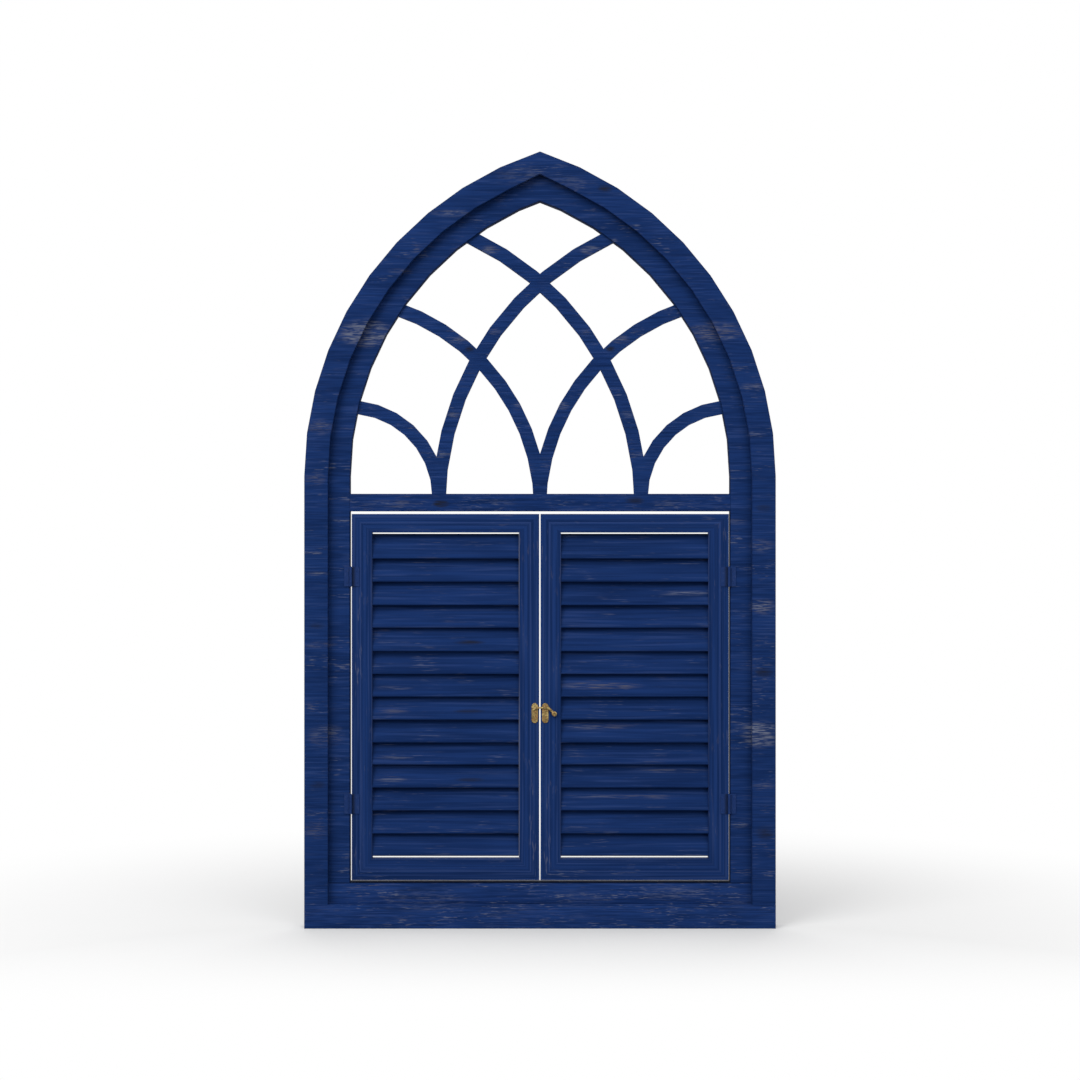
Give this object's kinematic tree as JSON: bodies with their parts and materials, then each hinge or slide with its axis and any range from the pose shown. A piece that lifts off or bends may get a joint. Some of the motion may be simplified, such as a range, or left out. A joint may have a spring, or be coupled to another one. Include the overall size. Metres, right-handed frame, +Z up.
{
  "type": "arched window frame with shutters",
  "caption": "Pointed-arch timber window frame with open intersecting tracery over a transom, a pair of hinged louvred shutters and a swing-hook latch.",
  "frame": {"origin": "middle of the sill's flat underside, halfway through the casing's depth", "axes": "+X to the right seen from the front, +Y towards the back, +Z up; the shutters open towards -Y"},
  "size_m": [1.2, 0.062, 1.9778],
  "materials": {
    "painted_wood": "distressed blue paint, satin, worn at the edges",
    "painted_steel": "butt hinges painted over with the frame",
    "aged_brass": "aged, slightly tarnished"
  },
  "bodies": {
    "frame": {"casing_sill": "painted_wood", "casing_jamb_left": "painted_wood", "casing_jamb_right": "painted_wood", "casing_arch_left": "painted_wood", "casing_arch_right": "painted_wood", "band_rail": "painted_wood", "band_jamb_left": "painted_wood", "band_jamb_right": "painted_wood", "band_arch_left": "painted_wood", "band_arch_right": "painted_wood", "transom": "painted_wood", "tracery_long_left": "painted_wood", "tracery_long_right": "painted_wood", "tracery_middle_left": "painted_wood", "tracery_middle_right": "painted_wood", "tracery_low_left": "painted_wood", "tracery_low_right": "painted_wood", "left_hinge_frame_side": "painted_steel", "left_hinge_pins": "painted_steel", "right_hinge_frame_side": "painted_steel", "right_hinge_pins": "painted_steel"},
    "left_leaf": {"left_hinge_stile": "painted_wood", "left_meeting_stile": "painted_wood", "left_top_rail": "painted_wood", "left_bottom_rail": "painted_wood", "left_slats": "painted_wood", "left_hinge_leaf_side": "painted_steel", "latch_keeper": "aged_brass"},
    "right_leaf": {"right_hinge_stile": "painted_wood", "right_meeting_stile": "painted_wood", "right_top_rail": "painted_wood", "right_bottom_rail": "painted_wood", "right_slats": "painted_wood", "right_hinge_leaf_side": "painted_steel", "latch_plate": "aged_brass"},
    "lever": {"latch_lever": "aged_brass"}
  },
  "joints": [
    {"name": "left_shutter_swing", "type": "hinge", "parent": "frame", "child": "left_leaf", "pos_m": [-0.48325, -0.0133, 0.6065], "axis": [0, 0, -1], "range_deg": [0, 150]},
    {"name": "right_shutter_swing", "type": "hinge", "parent": "frame", "child": "right_leaf", "pos_m": [0.48325, -0.0133, 0.6065], "axis": [0, 0, 1], "range_deg": [0, 150]},
    {"name": "latch_lever_turn", "type": "hinge", "parent": "right_leaf", "child": "lever", "pos_m": [0.0134, -0.0139, 0.5653], "axis": [0, 1, 0], "range_deg": [0, 70]}
  ]
}
